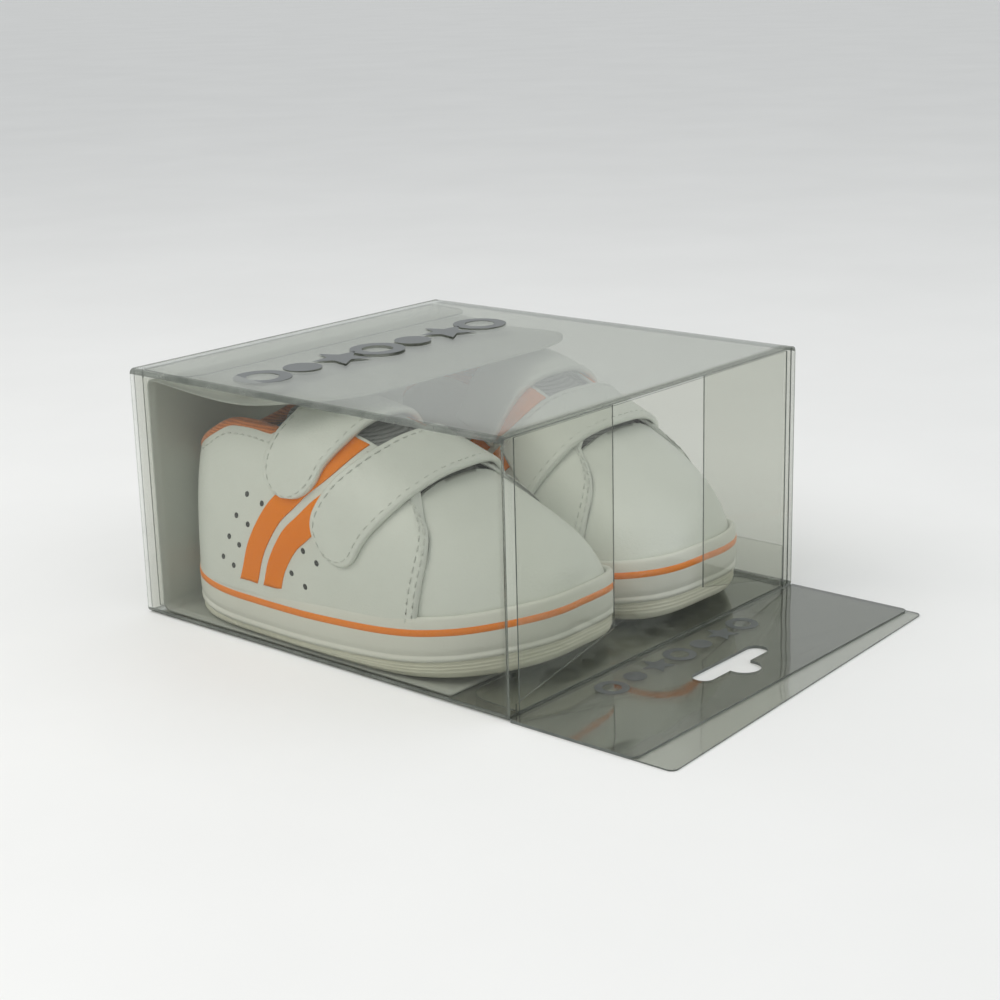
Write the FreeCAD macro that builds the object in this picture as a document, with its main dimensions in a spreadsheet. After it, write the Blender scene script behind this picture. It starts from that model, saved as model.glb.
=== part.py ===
import FreeCAD, Part

import math
import os

import Sketcher

# Transparent hanging carton with a pair of toddler's hook-and-loop shoes inside.
# Frame: origin at the centre of the carton's floor, X across the carton, Z up.
# The hang header and the shoes' toes point towards -Y, the heels towards +Y.

V = FreeCAD.Vector
DOC = FreeCAD.newDocument("ShoeBox")
SHEET = DOC.addObject("Spreadsheet::Sheet", "Sizes")
NODES = []

DRIVING_SIZES = {
    # carton
    "box_width": 134.3,
    "box_length": 142.5,
    "box_height": 75.0,
    "film": 0.4,
    "clearance": 0.4,
    "glue_flap_height": 12.5,
    "glue_flap_inset": 3.0,
    # hang header
    "header_length": 48.0,
    "header_skew": 3.5,
    "front_layer_length": 40.0,
    "front_layer_skew": 0.0,
    "header_corner": 2.0,
    "slot_width": 32.0,
    "slot_height": 6.4,
    "slot_distance": 22.8,
    "slot_hump_radius": 5.0,
    "slot_hump_rise": 4.2,
    # closures and flaps
    "closure_inset": 4.5,
    "tuck_length": 18.5,
    "tuck_rise": 0.6,
    "tuck_corner": 7.0,
    "dust_width": 46.0,
    "dust_shoulder": 3.4,
    "dust_slope_end": 12.0,
    # insert card
    "card": 0.7,
    "card_width": 128.0,
    "card_front": 23.0,
    "card_end": 138.9,
    "card_bottom": 0.45,
    "card_top": 72.0,
    "card_tongue_front": 70.0,
    "card_bend": 2.5,
    "tongue_corner": 30.0,
    # sole unit
    "left_shoe_ahead": 4.6,
    "sole_bottom": 1.5,
    "outsole_inset": 1.4,
    "outsole_drop": 12.9,
    "sole_peak": 30.0,
    "cup_floor": 12.5,
    "foxing_wall": 3.8,
    "insole_gap": 0.4,
    "toe_spring": 4.0,
    "toe_spring_start": 45.0,
    "pinstripe_drop": 3.2,
    "pinstripe_width": 2.2,
    "pinstripe_proud": 0.3,
    "insole_top": 14.9,
    # upper
    "feather": 16.0,
    "upper_inset": 1.2,
    "upper_wall": 2.0,
    "lining_wall": 1.8,
    "vamp_back": 34.0,
    "throat_front": 44.0,
    "throat_half_width": 11.0,
    "throat_rise": 13.5,
    "tongue_half_width": 17.0,
    "tongue_rise": 20.5,
    "lining_drop": 14.0,
    "seam_gap": 0.05,
    "strap_thickness": 1.6,
    "front_strap_width": 23.0,
    "front_strap_lateral": 62.0,
    "front_strap_medial": 44.0,
    "front_strap_free_end": 35.0,
    "front_strap_sewn_end": 30.0,
    "rear_strap_width": 21.0,
    "rear_strap_lateral": 88.0,
    "rear_strap_medial": 74.0,
    "rear_strap_free_end": 45.0,
    "rear_strap_sewn_end": 38.0,
    "stripe_foot": 82.4,
    "stripe_lean": 13.0,
    "stripe_lift": 1.8,
    "stripe_top": 46.0,
    "stripe_width": 8.6,
    "stripe_pitch": 9.9,
    "stripe_thickness": 0.6,
    "heel_strip_front": 125.0,
    "heel_strip_half_width": 6.0,
    "heel_strip_foot": 19.3,
}

# How far a cutting block runs past what it cuts.
MARGIN = 5.0

# Plan outline of the right shoe's sole, from the carton's near top corner:
# distance from the side wall, distance from the header end.
SOLE_OUTLINE = [
    (38.0, 7.4), (17.0, 13.6), (5.0, 30.0), (1.3, 54.0), (1.3, 80.0), (2.2, 104.0), (7.0, 125.0),
    (25.5, 136.9), (43.0, 127.0), (50.5, 108.0), (55.5, 84.0), (63.5, 58.0), (65.7, 34.0), (60.2, 11.6),
]

# Side profile of the foxing's top edge, which the line and the outsole's edge run parallel to.
FOXING_TOP = [
    (-5.0, 24.8), (8.0, 24.0), (26.0, 21.0), (41.0, 19.2), (60.0, 17.9),
    (80.0, 17.1), (104.0, 16.9), (126.0, 18.0), (145.0, 19.2),
]

# Side profile of the upper's crown: distance from the header end, height.
CROWN = [
    (10.5, 26.0), (15.0, 33.5), (22.0, 39.5), (32.0, 45.0), (46.0, 52.0), (62.0, 59.5),
    (80.0, 64.0), (100.0, 68.0), (118.0, 68.0), (129.5, 62.0), (134.4, 55.0),
]
TOPLINE = [(90.0, 63.5), (104.0, 62.0), (125.0, 51.0), (140.0, 45.5)]
SECTION_POWER = 2.7
SECTION_POINTS = 10


def fill_sheet():
    for row, (alias, value) in enumerate(DRIVING_SIZES.items(), start=1):
        SHEET.set(f"A{row}", alias)
        SHEET.set(f"B{row}", str(value))
        SHEET.setAlias(f"B{row}", alias)
    DOC.recompute()


def size(alias):
    return float(SHEET.get(alias))


def bind(text):
    """Turns the sheet's aliases in an expression into full references."""
    words = sorted(DRIVING_SIZES, key=len, reverse=True)
    out, i = "", 0
    while i < len(text):
        word = next((w for w in words if text.startswith(w, i)), None)
        out += f"Sizes.{word}" if word else text[i]
        i += len(word) if word else 1
    return out


def keep(obj, label):
    obj.Label = label
    NODES.append(obj)
    return obj


# --- carton pieces -----------------------------------------------------------


def panel_box(label, low, span):
    """A flat rectangular panel: expressions for its low corner and its three spans."""
    box = DOC.addObject("Part::Box", label)
    for prop, text in zip(("Length", "Width", "Height"), span):
        box.setExpression(prop, bind(text))
    for axis, text in zip("xyz", low):
        box.setExpression(f"Placement.Base.{axis}", bind(text))
    return keep(box, label)


def origin_plane(body, role):
    return next(o for o in body.Origin.OriginFeatures if o.Role == role)


def outline_sketch(body, plane, name, points, level):
    """A closed polygon whose corners are bound to expressions, at a level along the plane's normal."""
    sketch = body.newObject("Sketcher::SketchObject", name)
    sketch.AttachmentSupport = [(origin_plane(body, plane), "")]
    sketch.MapMode = "FlatFace"
    sketch.setExpression("AttachmentOffset.Base.z", bind(level))
    values = [[float(sketch.evalExpression(bind(t))) for t in point] for point in points]
    count = len(points)
    for i, (x, y) in enumerate(values):
        after = values[(i + 1) % count]
        sketch.addGeometry(Part.LineSegment(V(x, y, 0), V(after[0], after[1], 0)), False)
    for i in range(count):
        sketch.addConstraint(Sketcher.Constraint("Coincident", i, 2, (i + 1) % count, 1))
    for i, point in enumerate(points):
        for kind, value, text in zip(("DistanceX", "DistanceY"), values[i], point):
            index = sketch.addConstraint(Sketcher.Constraint(kind, -1, 1, i, 1, value))
            sketch.setExpression(f"Constraints[{index}]", bind(text))
    return sketch


def pad(body, sketch, name, thickness, reversed_pad=False):
    feature = body.newObject("PartDesign::Pad", name)
    feature.Profile = sketch
    feature.setExpression("Length", bind(thickness))
    feature.Reversed = reversed_pad
    DOC.recompute()
    return feature


def film_body(label, plane, points, level, reversed_pad=False):
    """A die-cut flap of film, drawn as its outline and padded by the film's thickness."""
    body = DOC.addObject("PartDesign::Body", label)
    sketch = outline_sketch(body, plane, f"{label}_outline", points, level)
    pad(body, sketch, f"{label}_sheet", "film", reversed_pad)
    return keep(body, label)


def round_edges(body, name, radius, test):
    """Fillets the edges of the body's tip that pass a test of their middle point and direction."""
    base = body.Tip
    picked = []
    for number, edge in enumerate(base.Shape.Edges, start=1):
        if test(edge.CenterOfMass, edge.tangentAt(edge.FirstParameter)):
            picked.append(f"Edge{number}")
    feature = body.newObject("PartDesign::Fillet", name)
    feature.Base = (base, picked)
    feature.setExpression("Radius", bind(radius))
    DOC.recompute()


def cut_circle(body, name, centre_x, centre_y, radius, level):
    sketch = body.newObject("Sketcher::SketchObject", f"{name}_outline")
    sketch.AttachmentSupport = [(origin_plane(body, "XY_Plane"), "")]
    sketch.MapMode = "FlatFace"
    sketch.setExpression("AttachmentOffset.Base.z", bind(level))
    x, y, r = (float(sketch.evalExpression(bind(t))) for t in (centre_x, centre_y, radius))
    sketch.addGeometry(Part.Circle(V(x, y, 0), V(0, 0, 1), r), False)
    for kind, value, text in (("DistanceX", x, centre_x), ("DistanceY", y, centre_y)):
        if abs(value) > 1e-6:
            index = sketch.addConstraint(Sketcher.Constraint(kind, -1, 1, 0, 3, value))
            sketch.setExpression(f"Constraints[{index}]", bind(text))
    index = sketch.addConstraint(Sketcher.Constraint("Radius", 0, r))
    sketch.setExpression(f"Constraints[{index}]", bind(radius))
    pocket(body, sketch, name)


def pocket(body, sketch, name):
    """Cuts right through the sheet both ways, and checks that material went."""
    before = body.Tip.Shape.Volume
    feature = body.newObject("PartDesign::Pocket", name)
    feature.Profile = sketch
    feature.Type = "ThroughAll"
    feature.Midplane = True
    DOC.recompute()
    if body.Tip.Shape.Volume >= before:
        raise RuntimeError(f"{name} cuts nothing")


def cut_euro_slot(body, label, level):
    """The round-ended slot with a round hump in the middle of its outer side."""
    near = "-box_length / 2 - slot_distance + slot_height / 2"
    far = "-box_length / 2 - slot_distance - slot_height / 2"
    half = "(slot_width - slot_height) / 2"
    corners = [(f"-{half}", far), (half, far), (half, near), (f"-{half}", near)]
    sketch = outline_sketch(body, "XY_Plane", f"{label}_slot_outline", corners, level)
    pocket(body, sketch, f"{label}_slot")
    middle = "-box_length / 2 - slot_distance"
    for side, sign in (("left", "-"), ("right", "")):
        cut_circle(body, f"{label}_slot_{side}", f"{sign}{half}", middle, "slot_height / 2", level)
    hump = "-box_length / 2 - slot_distance - slot_hump_rise"
    cut_circle(body, f"{label}_slot_hump", "0", hump, "slot_hump_radius", level)


def make_sleeve():
    """The four long panels of the carton and its glued seam."""
    low_x, low_y = "-box_width / 2", "-box_length / 2"
    wall = ("film", "box_length", "box_height - 2 * film")
    panel_box("back_panel", (low_x, low_y, "0"), ("box_width", "box_length", "film"))
    panel_box("front_panel", (low_x, low_y, "box_height - film"), ("box_width", "box_length", "film"))
    panel_box("side_panel_right", (low_x, low_y, "film"), wall)
    panel_box("side_panel_left", ("box_width / 2 - film", low_y, "film"), wall)
    panel_box(
        "glue_flap",
        ("box_width / 2 - 2 * film", "glue_flap_inset - box_length / 2", "film"),
        ("film", "box_length - 2 * glue_flap_inset", "glue_flap_height - film"),
    )


def make_header():
    """Two bonded layers with the hanging slot: a short front one, and a back one cut a little askew."""
    root = "-box_length / 2 - clearance"
    half = "box_width / 2"
    past_slot = -size("box_length") / 2 - size("slot_distance")
    layers = (("header_back_layer", "header", "0"), ("header_front_layer", "front_layer", "film"))
    for label, name, level in layers:
        right_tip = f"-box_length / 2 - {name}_length - {name}_skew"
        left_tip = f"-box_length / 2 - {name}_length + {name}_skew"
        corners = [(f"-{half}", right_tip), (half, left_tip), (half, root), (f"-{half}", root)]
        body = film_body(label, "XY_Plane", corners, level)
        corners_past = lambda p, d: abs(d.z) > 0.9 and p.y < past_slot
        round_edges(body, f"{label}_corners", "header_corner", corners_past)
        cut_euro_slot(body, label, level)


def make_closure(label, end, hinge_at_top):
    """An end panel, its tuck flap and its two dust flaps. end is -1 at the header, +1 at the heels."""
    half = "(box_width / 2 - closure_inset)"
    low, high = "film + clearance", "(box_height - film - clearance)"
    face = "-box_length / 2" if end < 0 else "box_length / 2 - film"
    corners = [(f"-{half}", low), (half, low), (half, high), (f"-{half}", high)]
    film_body(f"{label}_closure", "XZ_Plane", corners, f"-({face})", True)
    make_tuck_flap(label, end, hinge_at_top, half)
    for side, sign in (("right", -1), ("left", 1)):
        make_dust_flap(f"{label}_dust_flap_{side}", end, sign, hinge_at_top)


def make_tuck_flap(label, end, hinge_at_top, half):
    """The flap on the closure's free edge: tucked in flat, its tip lifted slightly off the panel."""
    half = f"({half} - clearance)"
    root, tip = ("clearance", "clearance + tuck_length")
    corners = [(f"-{half}", root), (half, root), (half, tip), (f"-{half}", tip)]
    body = film_body(f"{label}_tuck_flap", "XY_Plane", corners, "0")
    limit = size("tuck_length")
    round_edges(body, f"{label}_tuck_corners", "tuck_corner", lambda p, d: abs(d.z) > 0.9 and p.y > limit)
    inward = 0.0 if end < 0 else 180.0
    lift = math.degrees(math.asin(size("tuck_rise") / size("tuck_length")))
    slope = lift if hinge_at_top else -lift
    body.Placement.Rotation = FreeCAD.Rotation(V(0, 0, 1), inward) * FreeCAD.Rotation(V(1, 0, 0), slope)
    start = "-(box_length / 2 - film)" if end < 0 else "box_length / 2 - film"
    level = "film + clearance" if hinge_at_top else "box_height - 2 * film - clearance"
    body.setExpression("Placement.Base.y", bind(start))
    body.setExpression("Placement.Base.z", bind(level))


def make_dust_flap(label, end, sign, tuck_below):
    """A side flap behind the closure, cut back along the edge where the tuck flap passes."""
    face = "-box_length / 2 + film + clearance" if end < 0 else "box_length / 2 - 2 * film - clearance"
    side = "-" if sign < 0 else ""
    root = f"{side}(box_width / 2 - film - clearance)"
    step = f"{side}(box_width / 2 - closure_inset + clearance)"
    tip = f"{side}(box_width / 2 - dust_width)"
    cut, plain = ("film + clearance", "(box_height - film - clearance)")
    rise, peak = ("dust_shoulder", "dust_slope_end")
    if not tuck_below:
        cut, plain = plain, cut
        rise, peak = ("box_height - dust_shoulder", "box_height - dust_slope_end")
    corners = [(root, cut), (step, cut), (step, rise), (tip, peak), (tip, plain), (root, plain)]
    film_body(label, "XZ_Plane", corners, f"-({face})", True)


def make_insert_card():
    """One folded card: floor, heel wall and a tongue that lies over the shoes."""
    body = DOC.addObject("PartDesign::Body", "insert_card")
    front, end = "card_front - box_length / 2", "card_end - box_length / 2"
    back, over = f"({end} - card)", "card_tongue_front - box_length / 2"
    low, high = "card_bottom", "card_top"
    corners = [
        (front, low), (end, low), (end, high), (over, high),
        (over, f"({high} - card)"), (back, f"({high} - card)"),
        (back, f"{low} + card"), (front, f"{low} + card"),
    ]
    sketch = outline_sketch(body, "YZ_Plane", "insert_card_outline", corners, "0")
    feature = pad(body, sketch, "insert_card_sheet", "card_width")
    feature.Midplane = True
    DOC.recompute()
    outer, inner = size("card_end") - size("box_length") / 2, size("card")
    tongue_end = size("card_tongue_front") - size("box_length") / 2

    def outside(point, direction):
        return abs(direction.x) > 0.9 and abs(point.y - outer) < 0.01

    def inside(point, direction):
        return abs(direction.x) > 0.9 and abs(point.y - outer + inner) < 0.01

    def corner(point, direction):
        return abs(direction.z) > 0.9 and point.z > size("card_top") - 1 and abs(point.y - tongue_end) < 0.01

    round_edges(body, "insert_outer_bends", "card_bend", outside)
    round_edges(body, "insert_inner_bends", "card_bend - card", inside)
    round_edges(body, "insert_tongue_corners", "tongue_corner", corner)
    keep(body, "insert_card")


# --- shoes -------------------------------------------------------------------


def corner_frame(x, y, z=0.0):
    """A point given from the carton's near top corner, in the part's frame."""
    return V(x - size("box_width") / 2, y - size("box_length") / 2, z)


def sole_face(inset, height):
    """The sole's plan outline as a face at a height, each of its points drawn in by inset."""
    points = [corner_frame(x, y, height) for x, y in SOLE_OUTLINE]
    curve = Part.BSplineCurve()
    curve.interpolate(points, PeriodicFlag=True)
    inner = []
    for point in points:
        along = V(*curve.tangent(curve.parameter(point))[0])
        inner.append(point + along.cross(V(0, 0, 1)).normalize() * inset)
    drawn = Part.BSplineCurve()
    drawn.interpolate(inner, PeriodicFlag=True)
    return Part.Face(Part.Wire(drawn.toShape()))


def sole_slab(inset, low, high):
    return sole_face(inset, low).extrude(V(0, 0, high - low))


def under_edge(drop):
    """Everything lower than the foxing's top edge less a drop, as a block across the shoe."""
    low, high = across_shoe()
    points = [corner_frame(low, y, z - drop) for y, z in FOXING_TOP]
    edge = Part.BSplineCurve()
    edge.interpolate(points)
    floor = -MARGIN
    first, last = V(points[0].x, points[0].y, floor), V(points[-1].x, points[-1].y, floor)
    rest = Part.makePolygon([points[-1], last, first, points[0]])
    face = Part.Face(Part.Wire([edge.toShape()] + rest.Edges))
    return face.extrude(V(high - low, 0, 0))


def toe_spring_cutter():
    """Everything under the curve that lifts the sole towards the toe."""
    start = corner_frame(0, size("toe_spring_start")).y
    floor = size("sole_bottom")
    reach = size("toe_spring_start")
    tip = V(0, start - reach, floor + size("toe_spring"))
    knee = V(0, start, floor)
    middle = V(0, start - reach / 2, floor + size("toe_spring") / 4)
    rise = Part.Arc(knee, middle, tip).toShape()
    below = V(0, 0, -(size("toe_spring") + floor))
    side = Part.makePolygon([tip, tip + below, V(0, start, tip.z + below.z), knee])
    face = Part.Face(Part.Wire([rise] + side.Edges))
    width = size("box_width")
    face.translate(V(-width, 0, 0))
    return face.extrude(V(2 * width, 0, 0))


def curve_height(points, y):
    """Height at y on the smooth line through side-profile points."""
    curve = Part.BSplineCurve()
    curve.interpolate([V(0, a, b) for a, b in points])
    plane = Part.Plane(V(0, y, 0), V(0, 1, 0))
    hits = curve.intersect(plane)[0]
    return hits[0].Z


def upper_section(y, offset, outline, base):
    """A closed cross-section of the upper at y: straight base, superellipse over it."""
    row = corner_frame(0, y).y
    reach = size("box_width")
    line = Part.makeLine(V(-reach, row, outline.CenterOfMass.z), V(reach, row, outline.CenterOfMass.z))
    edge = line.common(outline).Edges[0]
    low_x, high_x = edge.BoundBox.XMin - offset, edge.BoundBox.XMax + offset
    middle, half = (low_x + high_x) / 2, (high_x - low_x) / 2
    rise = curve_height(CROWN, y) + offset - base
    points = []
    for i in range(SECTION_POINTS + 1):
        turn = math.pi * i / SECTION_POINTS
        across = math.copysign(abs(math.cos(turn)) ** (2 / SECTION_POWER), math.cos(turn))
        up = abs(math.sin(turn)) ** (2 / SECTION_POWER)
        points.append(V(middle - half * across, row, base + rise * up))
    curve = Part.BSplineCurve()
    curve.interpolate(points)
    return Part.Wire([curve.toShape(), Part.makeLine(points[-1], points[0])])


def upper_dome(offset, base):
    """The upper's solid envelope, grown by offset, from the feather line at base."""
    outline = sole_face(size("upper_inset"), base)
    stations = [y for y, _ in CROWN]
    first, last = stations[0] - offset, stations[-1] + offset
    sections = []
    for y in stations:
        sections.append(upper_section(y, offset, outline, base))
    sections[0].translate(V(0, first - stations[0], 0))
    sections[-1].translate(V(0, last - stations[-1], 0))
    return Part.makeLoft(sections, True, False)


def shoe_middle():
    """Distance from the side wall to the line between the toe and the heel."""
    toe, heel = SOLE_OUTLINE[0], max(SOLE_OUTLINE, key=lambda point: point[1])
    return (toe[0] + heel[0]) / 2


def block(x_range, y_range, low, high):
    """An upright block over a rectangle given from the carton's near top corner."""
    span = V(x_range[1] - x_range[0], y_range[1] - y_range[0], high - low)
    return Part.makeBox(span.x, span.y, span.z, corner_frame(x_range[0], y_range[0], low))


def across_shoe():
    """Range across the carton that holds a whole right shoe."""
    return -MARGIN, size("box_width") / 2


def one_side(lateral):
    """Range across the carton on one side of the shoe's middle."""
    low, high = across_shoe()
    return (low, shoe_middle()) if lateral else (shoe_middle(), high)


def side_prism(points):
    """A side-profile polygon swept across the shoe."""
    low, high = across_shoe()
    outline = [corner_frame(low, y, z) for y, z in points]
    face = Part.Face(Part.makePolygon(outline + outline[:1]))
    return face.extrude(V(high - low, 0, 0))


def plan_prism(points, low, high):
    """A plan polygon swept up from low to high."""
    outline = [corner_frame(x, y, low) for x, y in points]
    face = Part.Face(Part.makePolygon(outline + outline[:1]))
    return face.extrude(V(0, 0, high - low))


def biggest(shape):
    return max(shape.Solids, key=lambda s: s.Volume)


def make_sole():
    """Outsole, cupped foxing, the coloured line round it and the insole."""
    floor, peak = size("sole_bottom"), size("sole_peak")
    wall, drop = size("foxing_wall"), size("pinstripe_drop")
    below = under_edge(size("outsole_drop"))
    outsole = sole_slab(size("outsole_inset"), floor, peak).common(below).cut(toe_spring_cutter())
    cup = sole_slab(0.0, floor, peak).common(under_edge(0.0)).cut(below)
    well = sole_slab(wall, size("cup_floor"), peak + MARGIN)
    foot = upper_dome(size("seam_gap"), size("feather"))
    band = under_edge(drop).cut(under_edge(drop + size("pinstripe_width")))
    line = sole_slab(-size("pinstripe_proud"), floor, peak).cut(sole_slab(0.0, 0.0, peak + MARGIN))
    insole = sole_slab(wall + size("insole_gap"), size("cup_floor"), size("insole_top"))
    return {
        "outsole": outsole,
        "foxing": biggest(cup.cut(well).cut(foot)),
        "foxing_line": biggest(line.common(band)),
        "insole": insole,
    }


def throat_and_topline():
    """What is cut out of the upper so that a foot can go in."""
    high = size("box_height") + MARGIN
    ankle = side_prism([(TOPLINE[0][0], high)] + TOPLINE + [(TOPLINE[-1][0], high)])
    half = size("throat_half_width")
    middle = shoe_middle()
    low = size("feather") + size("throat_rise")
    throat = block((middle - half, middle + half), (size("throat_front"), TOPLINE[1][0]), low, high)
    return ankle, throat


def strap(outer, inner, name):
    """A band over the instep from its sewn medial end to its hook-and-loop end on the lateral side."""
    low, high = across_shoe()
    half = size(f"{name}_width") / 2
    free, sewn = size(f"{name}_lateral"), size(f"{name}_medial")
    corners = [(low, free - half), (high, sewn - half), (high, sewn + half), (low, free + half)]
    reach = plan_prism(corners, size(f"{name}_free_end"), size("box_height"))
    band = outer.cut(inner).common(reach)
    below = block(one_side(False), (0, size("box_length")), 0, size(f"{name}_sewn_end"))
    return biggest(band.cut(below))


def stripes(skin, lateral):
    """Two parallel bands that lean towards the toe, on one side of the quarter."""
    low, top = size("feather") + size("stripe_lift"), size("stripe_top")
    side = block(one_side(lateral), (0, size("box_length")), 0, size("box_height"))
    bands = []
    for i in range(2):
        start = size("stripe_foot") + i * size("stripe_pitch")
        end = start + size("stripe_width")
        lean = size("stripe_lean")
        prism = side_prism([(start, low), (end, low), (end - lean, top), (start - lean, top)])
        bands.append(biggest(skin.common(prism).common(side)))
    return Part.makeCompound(bands)


def make_upper():
    """The stitched upper in its real pieces, with its lining, tongue, straps and stripes."""
    base, high, long = size("feather"), size("box_height") + MARGIN, size("box_length")
    wall, gap = size("upper_wall"), size("seam_gap")
    middle = shoe_middle()
    outer = upper_dome(0.0, base)
    inner = upper_dome(-wall, base - 1)
    inmost = upper_dome(-wall - size("lining_wall"), base - 1)
    ankle, throat = throat_and_topline()
    shell = outer.cut(inner).cut(ankle).cut(throat)
    seam = size("vamp_back")
    pieces = {"vamp": biggest(shell.common(block(across_shoe(), (0, seam), 0, high)))}
    for name, lateral in (("lateral", True), ("medial", False)):
        quarter = shell.common(block(one_side(lateral), (seam, long), 0, high))
        pieces[f"quarter_{name}"] = biggest(quarter)
    rear = block(across_shoe(), (TOPLINE[1][0], long), 0, high)
    low_edge = [(y, z - size("lining_drop")) for y, z in TOPLINE]
    band = side_prism(low_edge + [(TOPLINE[-1][0], high), (TOPLINE[0][0], high)])
    pieces["collar_lining"] = biggest(inner.cut(inmost).cut(ankle).common(rear).common(band))
    half = size("tongue_half_width")
    front, back = size("throat_front") - MARGIN, TOPLINE[1][0] - 1
    bed = block((middle - half, middle + half), (front, back), base + size("tongue_rise"), high)
    pieces["tongue"] = biggest(inner.cut(inmost).common(bed))
    over = upper_dome(gap + size("strap_thickness"), base)
    under = upper_dome(gap, base)
    skin = upper_dome(size("stripe_thickness"), base).cut(outer)
    half = size("heel_strip_half_width")
    foot = size("heel_strip_foot")
    stay = block((middle - half, middle + half), (size("heel_strip_front"), long), foot, high)
    pieces["heel_strip"] = biggest(skin.cut(ankle).common(stay))
    pieces["lateral_stripes"] = stripes(skin, True)
    pieces["medial_stripes"] = stripes(skin, False)
    for name in ("front_strap", "rear_strap"):
        pieces[name] = strap(over, under, name)
        for side in ("lateral_stripes", "medial_stripes"):
            pieces[side] = pieces[side].cut(pieces[name])
    return pieces


def mirrored(shape):
    """The left shoe's copy of a piece of the right one, standing a little nearer the header end."""
    copy = shape.mirror(V(0, 0, 0), V(1, 0, 0))
    copy.translate(V(0, -size("left_shoe_ahead"), 0))
    return copy


def make_shoes():
    """The right shoe as modelled, and the left one as its mirror image."""
    pieces = {**make_sole(), **make_upper()}
    for side in ("right", "left"):
        for name, shape in pieces.items():
            label = f"{side}_{name}"
            feature = DOC.addObject("Part::Feature", label)
            feature.Shape = shape if side == "right" else mirrored(shape)
            keep(feature, label)


def check_and_write():
    DOC.recompute()
    bad = [o.Label for o in DOC.Objects if {"Invalid", "Error"} & set(o.State)]
    for node in NODES:
        shape = node.Shape
        if shape.isNull() or not shape.isValid() or not shape.Solids:
            bad.append(node.Label)
    if bad:
        raise RuntimeError(f"these failed: {sorted(set(bad))}")
    os.makedirs("parts", exist_ok=True)
    for node in NODES:
        node.Shape.exportStep(f"parts/{node.Label}.step")


fill_sheet()
make_sleeve()
make_header()
make_closure("top", -1, True)
make_closure("bottom", 1, False)
make_insert_card()
make_shoes()
check_and_write()
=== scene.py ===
import math

import bpy
import numpy as np
from mathutils import Matrix, Vector


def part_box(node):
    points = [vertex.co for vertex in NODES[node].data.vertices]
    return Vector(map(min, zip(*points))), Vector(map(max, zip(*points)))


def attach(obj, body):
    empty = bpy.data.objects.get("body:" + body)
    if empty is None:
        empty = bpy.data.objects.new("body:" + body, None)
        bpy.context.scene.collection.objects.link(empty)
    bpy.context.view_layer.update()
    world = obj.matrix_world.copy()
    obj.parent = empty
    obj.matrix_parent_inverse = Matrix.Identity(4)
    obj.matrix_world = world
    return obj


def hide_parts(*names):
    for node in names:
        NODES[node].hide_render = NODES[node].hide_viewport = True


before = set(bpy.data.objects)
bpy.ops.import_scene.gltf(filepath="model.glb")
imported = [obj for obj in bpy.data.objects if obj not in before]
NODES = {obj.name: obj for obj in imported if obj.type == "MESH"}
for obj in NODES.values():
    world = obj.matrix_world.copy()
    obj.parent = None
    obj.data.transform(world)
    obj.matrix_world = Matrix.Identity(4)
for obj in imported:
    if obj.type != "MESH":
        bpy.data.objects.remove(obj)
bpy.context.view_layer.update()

# Looks of a clear film carton with a hang header, an insert card and a pair of toddler's hook-and-loop shoes.
# Shoes are drawn in millimetres in a shoe frame: a across from the outer side, b from the toe back, z up.
# The right shoe is built. The left one is its mirror image, standing a little nearer the header.

MM = 0.001

# ---------------------------------------------------------------- mesh helpers


def add_object(name, verts, faces, materials, smooth=True, face_slots=None):
    """A mesh object from points in metres, with shading set and one material slot per material."""
    mesh = bpy.data.meshes.new(name)
    mesh.from_pydata([tuple(v) for v in verts], [], [tuple(f) for f in faces])
    for material in materials:
        mesh.materials.append(material)
    mesh.polygons.foreach_set("use_smooth", [smooth] * len(mesh.polygons))
    if face_slots is not None:
        mesh.polygons.foreach_set("material_index", face_slots)
    mesh.validate()
    mesh.update()
    obj = bpy.data.objects.new(name, mesh)
    bpy.context.scene.collection.objects.link(obj)
    return obj


class Parts:
    """Collects several closed solids into one mesh."""

    def __init__(self):
        self.verts, self.faces, self.slots = [], [], []

    def add(self, verts, faces, slot=0):
        base = len(self.verts)
        self.verts.extend(map(tuple, verts))
        self.faces.extend([tuple(base + i for i in f) for f in faces])
        self.slots.extend([slot] * len(faces))

    def make(self, name, materials, smooth=True):
        return add_object(name, self.verts, self.faces, materials, smooth, self.slots)


def loft_faces(rings, per_ring, closed=False):
    """Quads between rings of equal length, with end caps unless the rings close on themselves."""
    faces = []
    last = rings if closed else rings - 1
    for i in range(last):
        after = (i + 1) % rings
        for j in range(per_ring):
            side = (j + 1) % per_ring
            here, there = i * per_ring, after * per_ring
            faces.append((here + j, there + j, there + side, here + side))
    if not closed:
        faces.append(tuple(range(per_ring)))
        faces.append(tuple((rings - 1) * per_ring + j for j in reversed(range(per_ring))))
    return faces


def unit(vectors):
    return vectors / (np.linalg.norm(vectors, axis=-1, keepdims=True) + 1e-12)


def run_lengths(points):
    """How far along a polyline each of its points is."""
    return np.concatenate([[0], np.cumsum(np.linalg.norm(np.diff(points, axis=0), axis=1))])


def crosswise(line):
    """Unit vectors across a plane line, at each of its points."""
    along = unit(np.gradient(line, axis=0))
    return np.column_stack([-along[:, 1], along[:, 0]])


def smooth_points(points, rounds):
    points = np.array(points, float)
    for _ in range(rounds):
        points[1:-1] = (points[:-2] + 2 * points[1:-1] + points[2:]) / 4
    return points


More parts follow.
